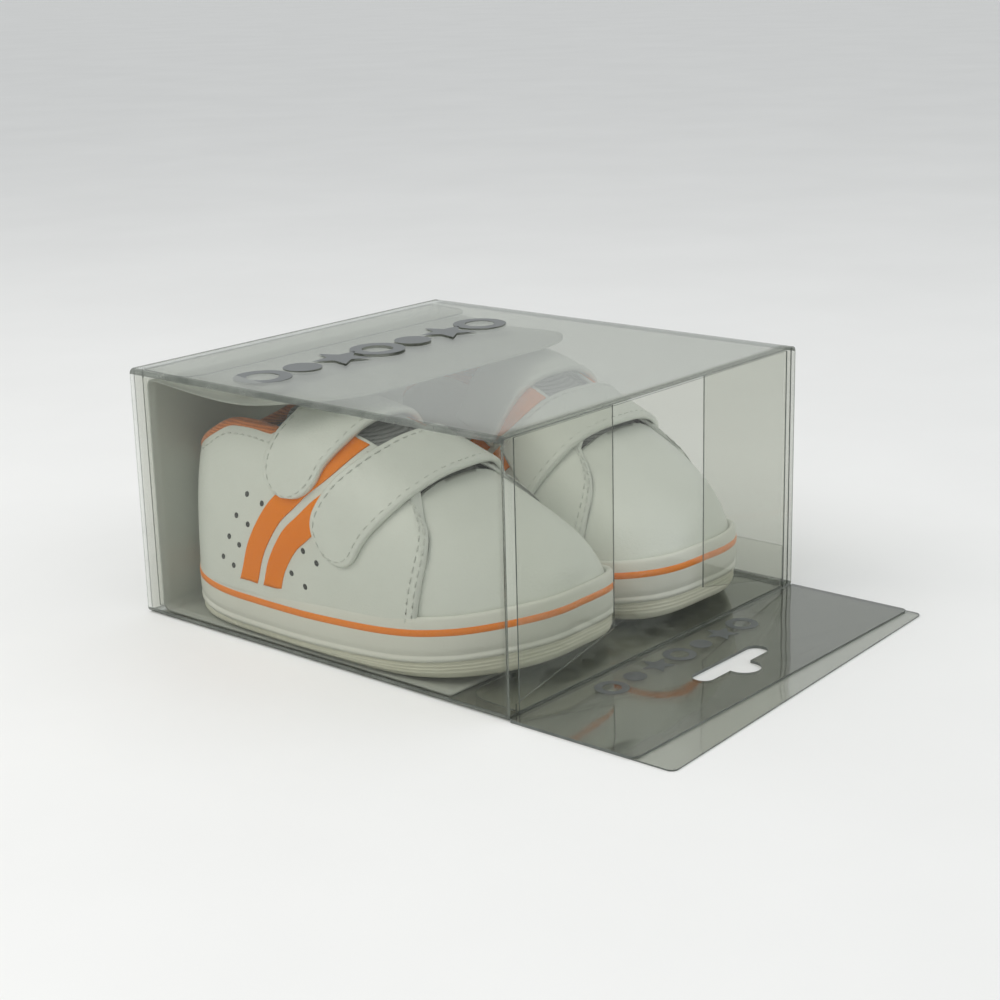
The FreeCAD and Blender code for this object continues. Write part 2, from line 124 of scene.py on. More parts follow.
def smooth_line(xs, ys):
    """A function through points that never overshoots them: a monotone cubic."""
    xs, ys = np.asarray(xs, float), np.asarray(ys, float)
    step = np.diff(xs)
    slope = np.diff(ys) / step
    tangent = np.zeros_like(ys)
    tangent[0], tangent[-1] = slope[0], slope[-1]
    for i in range(1, len(xs) - 1):
        if slope[i - 1] * slope[i] > 0:
            weight = 2 * step[i] + step[i - 1], step[i] + 2 * step[i - 1]
            tangent[i] = sum(weight) / (weight[0] / slope[i - 1] + weight[1] / slope[i])

    def value(x):
        x = np.clip(np.asarray(x, float), xs[0], xs[-1])
        i = np.clip(np.searchsorted(xs, x, side="right") - 1, 0, len(xs) - 2)
        t = (x - xs[i]) / step[i]
        ease = t * t * (3 - 2 * t)
        start = t * (1 - t) ** 2 * step[i] * tangent[i]
        end = t * t * (t - 1) * step[i] * tangent[i + 1]
        return ys[i] * (1 - ease) + ys[i + 1] * ease + start + end

    return value


def resample(points, count, closed=False):
    """Points spread evenly along a polyline."""
    points = np.asarray(points, float)
    if closed:
        points = np.vstack([points, points[:1]])
    run = run_lengths(points)
    at = np.linspace(0, run[-1], count, endpoint=not closed)
    return np.stack([np.interp(at, run, points[:, k]) for k in range(points.shape[1])], axis=1)


# ---------------------------------------------------------------- materials


class Look:
    """A material being built: its nodes, and the object's own coordinates that its patterns follow."""

    def __init__(self, name):
        self.material = bpy.data.materials.new(name)
        self.material.use_nodes = True
        self.tree = self.material.node_tree
        self.tree.nodes.clear()
        self.vector = self.add("TexCoord").outputs["Object"]

    def add(self, kind, sockets=(), **settings):
        """A node. settings are its properties; sockets are its inputs, each a value or an output to link."""
        node = self.tree.nodes.new("ShaderNode" + kind)
        for key, value in settings.items():
            setattr(node, key, value)
        for key, value in dict(sockets).items():
            if isinstance(value, bpy.types.NodeSocket):
                self.tree.links.new(value, node.inputs[key])
            else:
                node.inputs[key].default_value = value
        return node

    def math(self, operation, *values):
        return self.add("Math", enumerate(values), operation=operation).outputs["Value"]

    def noise(self, scale, detail=4.0, roughness=0.55):
        sockets = {"Vector": self.vector, "Scale": scale, "Detail": detail, "Roughness": roughness}
        return self.add("TexNoise", sockets).outputs["Fac"]

    def ramp(self, source, low, high, places=(0.3, 0.7)):
        node = self.add("ValToRGB", {"Fac": source})
        for element, place, colour in zip(node.color_ramp.elements, places, (low, high)):
            element.position = place
            element.color = (*colour, 1.0)
        return node.outputs["Color"]

    def spread(self, source, low, high):
        return self.add("MapRange", {"Value": source, "To Min": low, "To Max": high}).outputs["Result"]

    def bump(self, height, strength, distance, under=None):
        sockets = {"Height": height, "Strength": strength, "Distance": distance}
        if under is not None:
            sockets["Normal"] = under
        return self.add("Bump", sockets).outputs["Normal"]

    def facing(self, low):
        """How much a thin film's face mirrors: low straight on, rising to nearly all at a grazing angle."""
        layer = self.add("LayerWeight", {"Blend": 0.5}).outputs["Facing"]
        return self.spread(self.math("POWER", layer, 4.2), low, 0.9)

    def shader(self, kind, sockets):
        return self.add("Bsdf" + kind, sockets).outputs["BSDF"]

    def mix(self, share, first, second):
        return self.add("MixShader", {0: share, 1: first, 2: second}).outputs["Shader"]

    def done(self, shader):
        self.add("OutputMaterial", {"Surface": shader})
        return self.material


def film_material(name, tint, edge_axis=None, haze=0.012, mirror=0.012, body=(0.33, 0.335, 0.31)):
    """Clear film: see-through, a touch hazy and mirroring. With edge_axis, its normal, cut edges are painted
    dark as shade for the light the cut edge bends away.
    """
    look = Look(name)
    dust, scuff = look.noise(45.0, 6.0), look.noise(210.0, 5.0)
    bright = [1.25 * share for share in body]
    cloud = look.ramp(dust, body, bright, (0.3, 0.75))
    milk = look.shader("Principled", {"Roughness": 0.3, "Base Color": cloud})
    clear = look.shader("Transparent", {"Color": (*tint, 1)})
    hazy = look.mix(look.spread(dust, haze * 0.6, haze * 1.4), clear, milk)
    gloss = look.shader("Glossy", {
        "Color": (0.93, 0.95, 0.92, 1),
        "Roughness": look.spread(scuff, 0.02, 0.10),
        "Normal": look.bump(look.noise(16.0, 2.0), 0.5, 0.0014),
    })
    film = look.mix(look.facing(mirror), hazy, gloss)
    if edge_axis is None:
        return look.done(film)
    face = look.add("NewGeometry").outputs["Normal"]
    turn = {"vector_type": "NORMAL", "convert_from": "WORLD", "convert_to": "OBJECT"}
    own = look.add("VectorTransform", {0: face}, **turn).outputs[0]
    along = look.add("VectorMath", {0: own, 1: edge_axis}, operation="DOT_PRODUCT").outputs["Value"]
    on_edge = look.math("LESS_THAN", look.math("ABSOLUTE", along), 0.6)
    # Dark cut edges: painted shade where the film's edge bends light away.
    colour = look.ramp(scuff, (0.07, 0.08, 0.072), (0.15, 0.165, 0.15))
    edge = look.shader("Principled", {"Roughness": 0.2, "Base Color": colour})
    return look.done(look.mix(on_edge, film, edge))


def fold_material():
    """The pressed crease of the film, where it whitens and bends light away."""
    look = Look("film_fold")
    colour = look.ramp(look.noise(90.0, 3.0), (0.17, 0.185, 0.17), (0.34, 0.36, 0.33), (0.35, 0.7))
    clear = look.shader("Transparent", {"Color": (0.62, 0.64, 0.61, 1)})
    skin = look.shader("Principled", {"Roughness": 0.12, "Base Color": colour})
    return look.done(look.mix(0.45, clear, skin))


def leather_material(name, base, deep, roughness, grain=1.0, coat=0.18, ior=1.48):
    """Smooth coated synthetic leather: fine pebble grain, faint clouding and a soft coat."""
    look = Look(name)
    pebble = look.add("TexVoronoi", {"Vector": look.vector, "Scale": 1500.0}, feature="SMOOTH_F1")
    fine = look.bump(pebble.outputs["Distance"], 0.22 * grain, 0.00025)
    return look.done(look.shader("Principled", {
        "IOR": ior,
        "Coat Weight": coat,
        "Coat Roughness": 0.32,
        "Base Color": look.ramp(look.noise(55.0, 5.0), deep, base, (0.28, 0.72)),
        "Normal": look.bump(look.noise(130.0, 5.0, 0.6), 0.16 * grain, 0.0009, fine),
        "Roughness": look.spread(look.noise(300.0, 4.0), roughness - 0.07, roughness + 0.09),
    }))


def rubber_material(name, base, deep, roughness, grain_scale=700.0, grain=0.25):
    """Moulded rubber: matte skin with fine grain, mottling and a little scuffing."""
    look = Look(name)
    return look.done(look.shader("Principled", {
        "IOR": 1.5,
        "Base Color": look.ramp(look.noise(38.0, 6.0, 0.65), deep, base),
        "Normal": look.bump(look.noise(grain_scale, 3.0), grain, 0.0003),
        "Roughness": look.spread(look.noise(170.0, 5.0), roughness - 0.08, roughness + 0.12),
    }))


def textile_material(name, base, deep, pitch=0.0007):
    """Woven or knitted textile: crossing waves for the yarns, with fuzz in the roughness and a sheen."""
    look = Look(name)
    sockets = {"Vector": look.vector, "Scale": 0.314 / pitch, "Distortion": 0.6, "Detail": 1.0}
    waves = [
        look.add("TexWave", sockets, wave_type="BANDS", bands_direction=direction).outputs["Fac"]
        for direction in ("X", "Y", "Z")
    ]
    weave = waves[0]
    for other in waves[1:]:
        weave = look.math("MULTIPLY_ADD", weave, 0.5, other)
    return look.done(look.shader("Principled", {
        "Roughness": 0.88,
        "Sheen Weight": 0.35,
        "Sheen Roughness": 0.5,
        "Base Color": look.ramp(weave, deep, base, (0.35, 1.0)),
        "Normal": look.bump(weave, 0.5, 0.0003),
    }))


def card_material():
    """Frosted white plastic card: milky, with light coming faintly through and a soft sheen."""
    look = Look("insert_card")
    cloud = look.noise(26.0, 5.0)
    colour = look.ramp(cloud, (0.58, 0.60, 0.56), (0.68, 0.70, 0.66))
    skin = look.shader("Principled", {
        "Base Color": colour,
        "Normal": look.bump(look.noise(900.0, 3.0), 0.12, 0.0002),
        "Roughness": look.spread(cloud, 0.28, 0.42),
    })
    return look.done(look.mix(0.3, skin, look.shader("Translucent", {"Color": colour})))


def ink_material():
    """Screen-printed ink on the film: near-opaque grey with slightly uneven cover."""
    look = Look("print_ink")
    cover = look.noise(320.0, 4.0)
    return look.done(look.shader("Principled", {
        "Base Color": look.ramp(cover, (0.085, 0.095, 0.095), (0.13, 0.14, 0.14)),
        "Roughness": look.spread(cover, 0.3, 0.5),
    }))


def floor_material():
    look = Look("floor_paper")
    colour = look.ramp(look.noise(8.0, 4.0), (0.80, 0.80, 0.79), (0.83, 0.83, 0.82))
    return look.done(look.shader("Principled", {"Roughness": 0.7, "Base Color": colour}))


CLEAR = (0.885, 0.889, 0.868)
FLAP_CLEAR = (0.935, 0.938, 0.922)
FILM = {
    "x": film_material("film_upright_x", FLAP_CLEAR, (1, 0, 0)),
    "y": film_material("film_upright_y", FLAP_CLEAR, (0, 1, 0)),
    "z": film_material("film_flat", FLAP_CLEAR, (0, 0, 1)),
}
UP = (0, 0, 1)
HEADER_FILM = {
    "header_back_layer": film_material(
        "film_header_back", (0.82, 0.825, 0.80), UP, 0.08, 0.10, (0.34, 0.345, 0.32)),
    "header_front_layer": film_material(
        "film_header_front", (0.68, 0.685, 0.65), UP, 0.14, 0.12, (0.20, 0.205, 0.185)),
}
SLEEVE_FILM = film_material("film_sleeve", CLEAR)
# The floor panel's film is darker in tint and milk than the other panels: painted shade of the box's inside
# under the shoes.
FLOOR_FILM_PAINTED_SHADE = film_material("film_floor_painted_shade", (0.69, 0.695, 0.67), None, 0.02, 0.02, (0.10, 0.105, 0.09))
ROOF_FILM = film_material("film_roof", (0.84, 0.845, 0.82), None, 0.09, 0.012, (0.22, 0.225, 0.205))
FOLD = fold_material()
CARD = card_material()
INK = ink_material()
LEATHER = leather_material("white_leather", (0.79, 0.815, 0.77), (0.75, 0.775, 0.73), 0.38)
ORANGE = leather_material("orange_trim", (1.0, 0.27, 0.004), (0.95, 0.24, 0.003), 0.42, 0.7, 0.0, 1.2)
FOXING = rubber_material("foxing_rubber", (0.80, 0.80, 0.745), (0.76, 0.76, 0.705), 0.45)
OUTSOLE = rubber_material("outsole_rubber", (0.77, 0.76, 0.645), (0.70, 0.69, 0.57), 0.55, 420.0, 0.4)
LINE = rubber_material("orange_line", (1.0, 0.27, 0.006), (0.95, 0.24, 0.005), 0.42)
TEXTILE = textile_material("grey_textile", (0.30, 0.31, 0.31), (0.12, 0.125, 0.125))
LINING = textile_material("orange_lining", (0.72, 0.22, 0.05), (0.42, 0.11, 0.02), 0.0009)
HOOK = textile_material("hook_patch", (0.42, 0.43, 0.42), (0.2, 0.205, 0.2), 0.0006)
THREAD = textile_material("white_thread", (0.78, 0.80, 0.76), (0.60, 0.62, 0.58), 0.0004)
# Near-black colour of the vent holes: painted shade of each hole's depth.
HOLE_PAINTED_SHADE = textile_material("punched_hole_painted_shade", (0.05, 0.055, 0.055), (0.02, 0.022, 0.022), 0.0005)

# ---------------------------------------------------------------- the shoe's surface

SIDES = ("right", "left")
# Which way w runs on a shoe's outer side and on its inner side.
SIGN = (-1, 1)
SOLE_LOW, SOLE_HIGH = (np.array(v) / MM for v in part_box("right_foxing"))
LEFT_AHEAD = (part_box("right_foxing")[0].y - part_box("left_foxing")[0].y) / MM
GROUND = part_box("right_outsole")[0].z / MM
SHOE_WIDTH, SHOE_LENGTH = SOLE_HIGH[0] - SOLE_LOW[0], SOLE_HIGH[1] - SOLE_LOW[1]


def outward(loop):
    """Unit normals of a plan loop, pointing away from its middle."""
    along = np.roll(loop, -1, axis=0) - np.roll(loop, 1, axis=0)
    normal = unit(np.stack([along[:, 1], -along[:, 0]], axis=1))
    return normal * np.sign(np.sum(normal * (loop - loop.mean(axis=0)), axis=1).mean())


def sole_loop(count=400):
    """The sole's plan outline in the shoe frame: the insole's outline grown by the wall round it."""
    points = np.array([v.co for v in NODES["right_insole"].data.vertices]) / MM
    top = points[np.abs(points[:, 2] - points[:, 2].max()) < 1e-3][:, :2]
    top = np.unique(np.round(top - SOLE_LOW[:2], 4), axis=0)
    middle = top.mean(axis=0)
    turn = np.arctan2(top[:, 1] - middle[1], top[:, 0] - middle[0])
    loop = resample(top[np.argsort(turn)], count, closed=True)
    wall = top[:, 0].min()
    return loop + outward(loop) * wall


LOOP = sole_loop()


def loop_sides():
    """The loop's outer and inner sides, each as a run from toe to heel."""
    toe, heel = int(np.argmin(LOOP[:, 1])), int(np.argmax(LOOP[:, 1]))
    around = np.roll(LOOP, -toe, axis=0)
    split = (heel - toe) % len(LOOP)
    first, second = around[: split + 1], np.vstack([around[split:], around[:1]])[::-1]
    return (first, second) if first[:, 0].mean() < second[:, 0].mean() else (second, first)


OUTER, INNER = loop_sides()
INSET = 1.5
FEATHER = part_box("right_vamp")[0].z / MM - 1.0
# Height of the foxing's top edge along the shoe; the line and the outsole's edge run parallel under it.
RIM = smooth_line(
    [-8, 0, 18, 33, 52, 72, 96, 118, 140], [24.6, 24.0, 21.0, 19.2, 17.9, 17.1, 16.9, 18.0, 19.0])
# The shoe's outer side is pressed flat by the carton's film, from the first distance in to the second.
PRESS_FROM, PRESS_TO = 1.1, -0.15
TOE_END, HEEL_END = INSET, SHOE_LENGTH - INSET
MIDDLE_B = (TOE_END + HEEL_END) / 2
HALF_B = (HEEL_END - TOE_END) / 2


def station(b):
    """How far along the shoe b is, on a scale that opens out the toe and the heel."""
    return np.arccos(np.clip((MIDDLE_B - np.asarray(b, float)) / HALF_B, -1, 1)) / math.pi


CROWN = [
    (TOE_END, FEATHER), (3.0, 27.0), (7.0, 33.0), (13.0, 38.5), (23.0, 44.5), (36.0, 51.0), (50.0, 57.0),
    (64.0, 62.7), (78.0, 65.7), (96.0, 66.3), (112.0, 64.6), (122.0, 59.4), (HEEL_END, 52.0),
]
crown_height = smooth_line([station(b) for b, _ in CROWN], [z for _, z in CROWN])
TOPLINE = smooth_line([70, 80, 88, 96, 104, 114, HEEL_END], [60.4, 60.0, 60.1, 60.7, 60.4, 55.8, 47.5])
POWER = smooth_line([0, 20, 50, 90, 127], [2.1, 2.25, 2.4, 2.7, 2.9])
ACROSS = np.linspace(-80, 80, 641)


class Upper:
    """The upper's envelope, measured in mm: b along the shoe and w round each section from the crown."""

    def __init__(self, stations=420, turns=241):
        self.u = np.linspace(0, 1, stations)
        b = MIDDLE_B - HALF_B * np.cos(math.pi * self.u)
        width = SHOE_WIDTH
        scale = (SHOE_LENGTH - 2 * INSET) / SHOE_LENGTH
        source = (b - TOE_END) / scale
        outer = np.interp(source, OUTER[:, 1], OUTER[:, 0])
        inner = np.interp(source, INNER[:, 1], INNER[:, 0])
        squeeze = (width - 2 * INSET) / width
        middle, half = (outer + inner) / 2, (inner - outer) / 2 * squeeze
        turn = np.linspace(0, math.pi, turns)
        grid = np.zeros((stations, len(ACROSS), 3))
        self.feather = np.zeros((stations, 2))
        for i in range(stations):
            power = 2 / float(POWER(b[i]))
            side = np.sign(np.cos(turn)) * np.abs(np.cos(turn)) ** power
            up = np.sin(turn).clip(0) ** power
            rise = float(crown_height(self.u[i])) - FEATHER
            lean = 0.03 * np.clip((b[i] - 60) / 60, 0, 1) * up
            section = np.full((turns, 3), b[i])
            section[:, 0] = middle[i] - half[i] * side * (1 - lean)
            section[:, 2] = FEATHER + rise * up
            below = [section[0] - [0, 0, 30], *section, section[-1] - [0, 0, 30]]
            run = run_lengths(below)
            crown = np.interp(0.5, np.linspace(0, 1, turns), run[1:-1])
            self.feather[i] = run[1] - crown, run[-2] - crown
            for k in range(3):
                grid[i, :, k] = np.interp(ACROSS, run - crown, np.array(below)[:, k])
        self.grid = grid
        along, over = np.gradient(grid, axis=0), np.gradient(grid, axis=1)
        normal = unit(np.cross(over, along))
        kernel = np.ones(7) / 7
        for k in range(3):
            padded = np.pad(normal[:, :, k], ((0, 0), (3, 3)), mode="edge")
            normal[:, :, k] = np.apply_along_axis(lambda r: np.convolve(r, kernel, "valid"), 1, padded)
        self.normal = unit(normal)

    def read(self, field, b, w):
        u = station(b) * (len(self.u) - 1)
        v = (np.asarray(w, float) - ACROSS[0]) / (ACROSS[1] - ACROSS[0])
        i = np.clip(np.floor(u).astype(int), 0, len(self.u) - 2)
        j = np.clip(np.floor(v).astype(int), 0, len(ACROSS) - 2)
        fu, fv = (u - i)[..., None], np.clip(v - j, 0, 1)[..., None]
        low = field[i, j] * (1 - fv) + field[i, j + 1] * fv
        high = field[i + 1, j] * (1 - fv) + field[i + 1, j + 1] * fv
        return low * (1 - fu) + high * fu

    def at(self, b, w, off=0.0):
        """Points of the shoe frame at (b, w), moved out along the surface's normal by off."""
        b, w = np.broadcast_arrays(np.asarray(b, float), np.asarray(w, float))
        normal = unit(self.read(self.normal, b, w))
        spot = self.read(self.grid, b, w) + normal * np.asarray(off, float)[..., None]
        room = PRESS_FROM - PRESS_TO
        pressed = PRESS_TO + room * np.exp(np.minimum(spot[..., 0] - PRESS_FROM, 0) / room)
        spot[..., 0] = np.where(spot[..., 0] < PRESS_FROM, pressed, spot[..., 0])
        return spot

    def edge(self, b, side):
        """w of the feather line: side 0 is the outer side, 1 the inner side."""
        return np.interp(station(b), self.u, self.feather[:, side])

    def w_at(self, b, z, side):
        """w where the surface has height z, on one side."""
        b = np.atleast_1d(np.asarray(b, float))
        z = np.broadcast_to(np.asarray(z, float), b.shape)
        out = np.zeros(b.shape)
        for k, (bk, zk) in enumerate(zip(b, z)):
            w = np.linspace(0, self.edge(bk, side), 200)
            heights = self.at(np.full(200, bk), w)[:, 2]
            out[k] = np.interp(zk, heights[::-1], w[::-1])
        return out


UPPER = Upper()

# ---------------------------------------------------------------- pieces on that surface

EDGE_ROUND = np.array([(0.0, 0.0), (0.0, 0.55), (0.25, 0.88), (0.7, 1.0)])


def slab_ring(b, w, low, high, round_mm=0.5):
    """A closed ring for one cross-section of a thin piece: rounded top edges, flat back."""
    run = np.concatenate([[0], np.cumsum(np.hypot(np.diff(b), np.diff(w)))])
    total = max(run[-1], 1e-6)
    reach = min(round_mm, total * 0.3)
    tops, offs = EDGE_ROUND[:, 0] * reach, EDGE_ROUND[:, 1]
    inside = np.linspace(reach, total - reach, len(b))[1:-1]
    along = np.concatenate([tops, inside, total - tops[::-1]])
    rise = np.concatenate([offs, np.ones(len(inside)), offs[::-1]])
    top_b, top_w = np.interp(along, run, b), np.interp(along, run, w)
    top = UPPER.at(top_b, top_w, low + (high - low) * rise)
    return np.vstack([top, UPPER.at(b[-2:0:-1], w[-2:0:-1], low)])


def patch(lines, low, high, round_mm=0.5):
    """A thin closed piece between successive (b, w) lines of equal point count.

    low and high are its faces' offsets from the surface: one number each, or one per line.
    """
    lows, highs = (np.broadcast_to(np.asarray(value, float), (len(lines),)) for value in (low, high))
    rings = [slab_ring(line[:, 0], line[:, 1], lows[i], highs[i], round_mm) for i, line in enumerate(lines)]
    return np.vstack(rings), loft_faces(len(rings), len(rings[0]))


def tube(path, radius, sides=10, closed=False):
    """A round bead along 3D points. radius is one number or one per point."""
    path = np.asarray(path, float)
    radii = np.broadcast_to(np.asarray(radius, float), (len(path),))
    tangent = unit(np.gradient(path, axis=0))
    side = unit(np.cross(tangent, UP))
    over = np.cross(side, tangent)
    turn = np.linspace(0, 2 * math.pi, sides, endpoint=False)
    rings = [
        path[i] + radii[i] * (np.cos(turn)[:, None] * side[i] + np.sin(turn)[:, None] * over[i])
        for i in range(len(path))
    ]
    return np.vstack(rings), loft_faces(len(path), sides, closed)


STITCH, STITCH_GAP = 1.9, 0.9


def stitches(parts, line, off, radius=0.24):
    """A row of thread stitches along a (b, w) line: each dips into the surface at both ends."""
    line = np.asarray(line, float)
    run = run_lengths(UPPER.at(line[:, 0], line[:, 1]))
    lift = np.broadcast_to(off, run.shape)
    arch = np.array([-0.12, radius / 4, radius / 2, radius / 4, -0.12])
    for k in range(int(run[-1] // (STITCH + STITCH_GAP))):
        start = k * (STITCH + STITCH_GAP)
        at = np.linspace(start, start + STITCH, 5)
        b, w = np.interp(at, run, line[:, 0]), np.interp(at, run, line[:, 1])
        thread = UPPER.at(b, w, np.interp(at, run, lift) + arch)
        parts.add(*tube(thread, [radius / 2, radius, radius, radius, radius / 2], 6))


def place(side, verts):
    """Shoe frame in mm to the row's frame in metres."""
    verts = np.asarray(verts, float)
    across, along = SOLE_LOW[0] + verts[:, 0], SOLE_LOW[1] + verts[:, 1]
    if side == "left":
        across, along = -across, along - LEFT_AHEAD
    return np.stack([across, along, verts[:, 2]], axis=1) * MM


def shoe_piece(name, parts, materials, node=None):
    """Makes the piece for both shoes, each riding on its own shoe."""
    made = []
    for side in SIDES:
        faces = parts.faces if side == "right" else [f[::-1] for f in parts.faces]
        verts = place(side, parts.verts)
        obj = add_object(f"{side}_{name}_skin", verts, faces, materials, True, parts.slots)
        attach(obj, f"{side}_shoe")
        if node:
            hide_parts(f"{side}_{node}")
        made.append(obj)
    return made


def single(verts, faces):
    parts = Parts()
    parts.add(verts, faces)
    return parts


# ---------------------------------------------------------------- sole unit

SPRING_START = 44.0
SPRING = 3.9
OUTSOLE_DROP = 12.9


def ground(b):
    """Height of the sole's underside: flat, then lifting towards the toe."""
    return GROUND + SPRING * np.clip((SPRING_START - b) / SPRING_START, 0, 1) ** 2


def outsole_edge(b):
    return RIM(b) - OUTSOLE_DROP


def sole_ring(grow, low, high, share, lift=0.0):
    """The sole's outline grown outwards, at a share of the way between two height lines."""
    points = LOOP + outward(LOOP) * grow
    b = LOOP[:, 1]
    return np.column_stack([points, low(b) + (high(b) - low(b)) * share + lift])


def sole_wall(profile, low, high):
    """A solid with the sole's outline: rings at (grow, share, lift), closed over at both ends."""
    rings = [sole_ring(grow, low, high, share, lift) for grow, share, lift in profile]
    return np.vstack(rings), loft_faces(len(rings), len(LOOP))


TREAD_BARS, TREAD_FIRST, TREAD_STEP = 17, 9.0, 6.9
TREAD_INSET, TREAD_ZIGZAG, TREAD_POINTS = 9.0, 1.3, 10


def make_outsole():
    """Cream outsole: rounded foot, ribbed side and zigzag tread bars under it."""
    profile = [
        (-7.0, 0.0, 0.9), (-4.0, 0.0, 0.12), (-3.0, 0.0, 0.0), (-2.0, 0.06, 0.1), (-1.3, 0.22, 0.0),
        (-1.0, 0.36, 0.0),
    ]
    for share in (0.46, 0.64, 0.82):
        profile += [(-0.75, share, 0.0), (-1.0, share + 0.05, 0.0), (-0.75, share + 0.10, 0.0)]
    profile += [(-0.8, 0.98, 0.0), (-1.1, 1.0, 0.05), (-2.4, 1.0, 0.0), (-6.0, 1.0, -0.2)]
    parts = single(*sole_wall(profile, ground, outsole_edge))
    for row in range(TREAD_BARS):
        b = TREAD_FIRST + row * TREAD_STEP
        outer = np.interp(b, OUTER[:, 1], OUTER[:, 0]) + TREAD_INSET
        inner = np.interp(b, INNER[:, 1], INNER[:, 0]) - TREAD_INSET
        rings = []
        for k in range(TREAD_POINTS + 1):
            a = outer + (inner - outer) * k / TREAD_POINTS
            along = b + (TREAD_ZIGZAG if k % 2 else -TREAD_ZIGZAG)
            foot = float(ground(along))
            rings.append([(a, along - 1.2, foot + 1.1), (a, along - 0.8, foot + 0.15),
                          (a, along + 0.8, foot + 0.15), (a, along + 1.2, foot + 1.1)])
        parts.add(np.vstack(rings), loft_faces(len(rings), 4))
    shoe_piece("outsole", parts, [OUTSOLE], "outsole")


def make_foxing():
    """White rubber band: a slightly bellied wall with a pressed bead along its foot and a soft top lip."""
    profile = [
        (-4.4, 0.0, 0.0), (-1.1, 0.0, 0.0), (-0.45, 0.01, 0.0), (-0.15, 0.06, 0.0), (-0.12, 0.10, 0.0),
        (-0.5, 0.135, 0.0), (-0.62, 0.155, 0.0), (-0.3, 0.19, 0.0), (-0.08, 0.32, 0.0), (-0.03, 0.50, 0.0),
        (-0.10, 0.72, 0.0), (-0.3, 0.88, 0.0), (-0.5, 0.95, 0.0), (-0.8, 0.985, 0.0), (-1.3, 1.0, 0.0),
        (-1.9, 0.985, 0.0), (-2.3, 0.93, 0.0), (-3.0, 0.5, 0.0), (-4.4, 0.3, 0.0),
    ]
    shoe_piece("foxing", single(*sole_wall(profile, outsole_edge, RIM)), [FOXING], "foxing")


LINE_DROP = 4.3
LINE_HALF = 1.2


def make_foxing_line():
    """The coloured line let into the foxing, as a low rounded bead all the way round."""
    half = LINE_HALF
    section = [
        (-1.2, 0.1 - half), (-0.3, -half), (0.0, 0.3 - half), (0.06, 0.0),
        (-0.02, half - 0.3), (-0.35, half), (-1.2, half - 0.1),
    ]
    rings = [sole_ring(grow, RIM, RIM, 0.0, lift - LINE_DROP) for grow, lift in section]
    faces = loft_faces(len(rings), len(LOOP), closed=True)
    shoe_piece("foxing_line", single(np.vstack(rings), faces), [LINE], "foxing_line")


def make_insole():
    low, high = (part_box("right_insole")[k].z / MM for k in (0, 1))
    floor, top = (lambda b: np.full_like(b, low)), (lambda b: np.full_like(b, high))
    profile = [(-5.6, 0.0, 0.0), (-4.9, 0.0, 0.4), (-4.9, 1.0, -0.5), (-5.6, 1.0, 0.0), (-14.0, 1.0, -0.6)]
    shoe_piece("insole", single(*sole_wall(profile, floor, top)), [TEXTILE], "insole")


# ---------------------------------------------------------------- upper

THROAT_B = 37.0
EYESTAY = 10.5
VAMP_BACK = 42.0


def vamp_lines():
    lines = []
    for b in TOE_END + (VAMP_BACK - TOE_END) * np.linspace(0, 1, 46) ** 1.8:
        w = np.linspace(UPPER.edge(b, 0) - 1.0, UPPER.edge(b, 1) + 1.0, 61)
        back = THROAT_B + 5.0 * np.clip(np.abs(w) / 30.0, 0, 1) ** 2
        lines.append(np.column_stack([np.minimum(b, back), w]))
    return lines


def make_vamp():
    shoe_piece("vamp", single(*patch(vamp_lines(), -1.3, 0.0, 0.3)), [LEATHER], "vamp")


def seam_line(side, count=60):
    """The quarter's front edge from the feather up to the throat, bowed towards the toe."""
    heights = [FEATHER, 23.0, 30.0, 34.0, 39.2, 43.8, 47.3]
    places = [28.5, 28.0, 27.8, 28.0, 29.6, 33.7, 38.6]
    along = smooth_line(heights, places)
    zs = np.linspace(heights[0], heights[-1], count - 8)
    b = along(zs)
    w = UPPER.w_at(b, zs, side)
    sign = SIGN[side]
    tail_b = np.linspace(b[-1], THROAT_B + 4.5, 9)[1:]
    tail_w = np.linspace(w[-1], sign * EYESTAY, 9)[1:]
    line = np.column_stack([np.concatenate([b, tail_b]), np.concatenate([w, tail_w])])
    line[0, 1] += sign
    return resample(smooth_points(line, 3), count)


ANKLE_START, ANKLE_BLEND = 72, 14


def quarter_top(b, side):
    """w of the quarter's upper edge: the eyestay in front, then the topline round the ankle."""
    sign = SIGN[side]
    b = np.atleast_1d(b)
    ankle = UPPER.w_at(b, TOPLINE(b), side)
    blend = np.clip((b - ANKLE_START) / ANKLE_BLEND, 0, 1)
    blend = blend * blend * (3 - 2 * blend)
    return sign * EYESTAY * (1 - blend) + np.where(np.abs(ankle) < EYESTAY, sign * EYESTAY, ankle) * blend


def quarter_lines(side, count=60):
    sign = SIGN[side]
    front = seam_line(side, count)
    lines = [front]
    steps = np.linspace(0, 1, 90)[1:]
    top_b = front[-1, 0] + (HEEL_END - front[-1, 0]) * np.sin(steps * math.pi / 2)
    foot_b = front[0, 0] + (HEEL_END - front[0, 0]) * np.sin(steps * math.pi / 2)
    tops = quarter_top(top_b, side)
    share = np.linspace(0, 1, count)
    front_share = front[:, 0] - np.interp(share, [0, 1], [front[0, 0], front[-1, 0]])
    for k, step in enumerate(steps):
        foot_w = UPPER.edge(foot_b[k], side) + sign
        b = foot_b[k] + (top_b[k] - foot_b[k]) * share + front_share * (1 - step) ** 3
        w = foot_w + (tops[k] - foot_w) * share
        lines.append(np.column_stack([b, w]))
    return lines


def make_quarters():
    for side, name in ((0, "lateral"), (1, "medial")):
        shoe_piece(f"quarter_{name}", single(*patch(quarter_lines(side), 0.02, 1.1, 0.5)), [LEATHER],
                   f"quarter_{name}")


